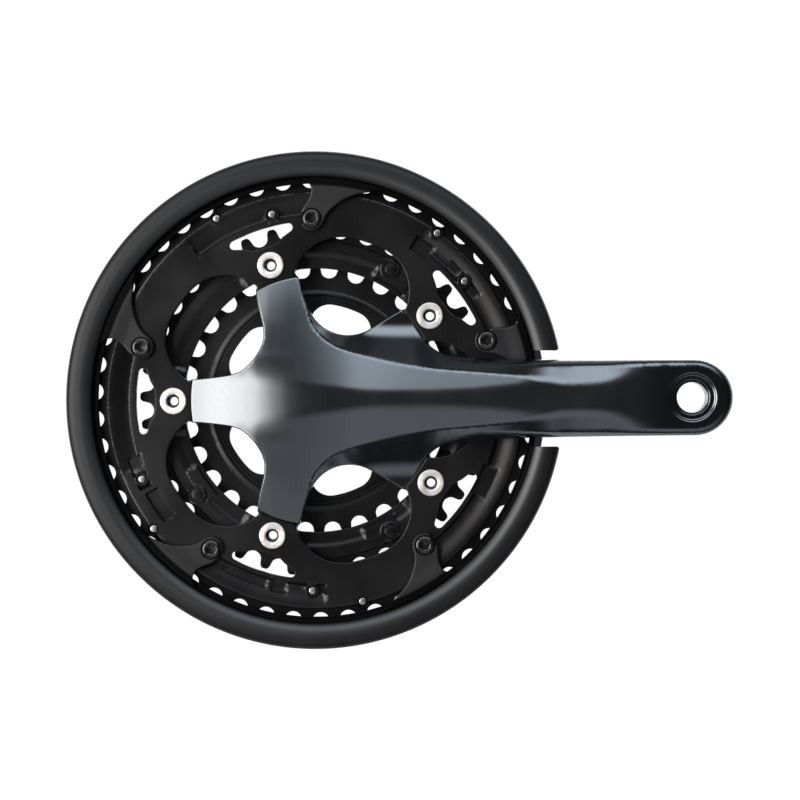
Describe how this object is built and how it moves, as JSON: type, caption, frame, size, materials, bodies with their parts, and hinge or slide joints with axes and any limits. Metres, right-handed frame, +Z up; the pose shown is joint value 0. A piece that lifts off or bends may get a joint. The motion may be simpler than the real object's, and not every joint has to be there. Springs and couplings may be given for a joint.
{
  "type": "bicycle crankset",
  "caption": "Drive-side road crank with its spider, chainrings, chain guard and the external-cup bottom bracket that its hollow axle turns in.",
  "frame": {"origin": "centre of the frame's bottom-bracket shell, on the axle's axis and the bike's centre plane", "axes": "+X along the crank arm towards the pedal; -Y outboard on the drive side, so +Y points at the left crank; +Z up with the arm horizontal"},
  "size_m": [0.3022, 0.143, 0.2276],
  "materials": {
    "arm_paint": "dark blue-grey metallic satin",
    "ring_black": "black anodised satin",
    "guard_plastic": "satin moulded",
    "bolt_silver": "machined, bright",
    "screw_black": "gloss black",
    "pin_steel": "turned",
    "axle_steel": "ground",
    "cup_black": "black anodised",
    "sleeve_plastic": "moulded",
    "seal_rubber": "matt",
    "bearing_steel": "polished",
    "cage_brass": "pressed"
  },
  "bodies": {
    "bottom_bracket": {"right_cup": "cup_black", "left_cup": "cup_black", "inner_sleeve": "sleeve_plastic", "sleeve_o_rings": "seal_rubber", "right_outer_race": "bearing_steel", "left_outer_race": "bearing_steel", "right_seals": "seal_rubber", "left_seals": "seal_rubber"},
    "crank": {"crank_arm": "arm_paint", "axle": "axle_steel", "outer_chainring": "ring_black", "middle_chainring": "ring_black", "inner_chainring": "ring_black", "chain_guard": "guard_plastic", "chainring_bolts": "bolt_silver", "chainring_nuts": "bolt_silver", "inner_ring_bolts": "bolt_silver", "guard_screws": "screw_black", "outer_ring_pins": "pin_steel", "middle_ring_pins": "pin_steel", "chain_drop_pin": "screw_black", "right_inner_race": "bearing_steel", "left_inner_race": "bearing_steel", "right_dust_cover": "sleeve_plastic", "left_dust_cover": "sleeve_plastic"},
    "right_bearing_balls": {"right_balls": "bearing_steel", "right_cage": "cage_brass"},
    "left_bearing_balls": {"left_balls": "bearing_steel", "left_cage": "cage_brass"}
  },
  "joints": [
    {"name": "crank_spin", "type": "hinge", "parent": "bottom_bracket", "child": "crank", "pos_m": [0, 0, 0], "axis": [0, 1, 0], "continuous": true},
    {"name": "right_cage_spin", "type": "hinge", "parent": "bottom_bracket", "child": "right_bearing_balls", "pos_m": [0, -0.0411, 0], "axis": [0, 1, 0], "continuous": true},
    {"name": "left_cage_spin", "type": "hinge", "parent": "bottom_bracket", "child": "left_bearing_balls", "pos_m": [0, 0.0411, 0], "axis": [0, 1, 0], "continuous": true}
  ],
  "couplings": [
    {"joint": "right_cage_spin", "follows": "crank_spin", "ratio": 0.4488},
    {"joint": "left_cage_spin", "follows": "crank_spin", "ratio": 0.4488}
  ]
}
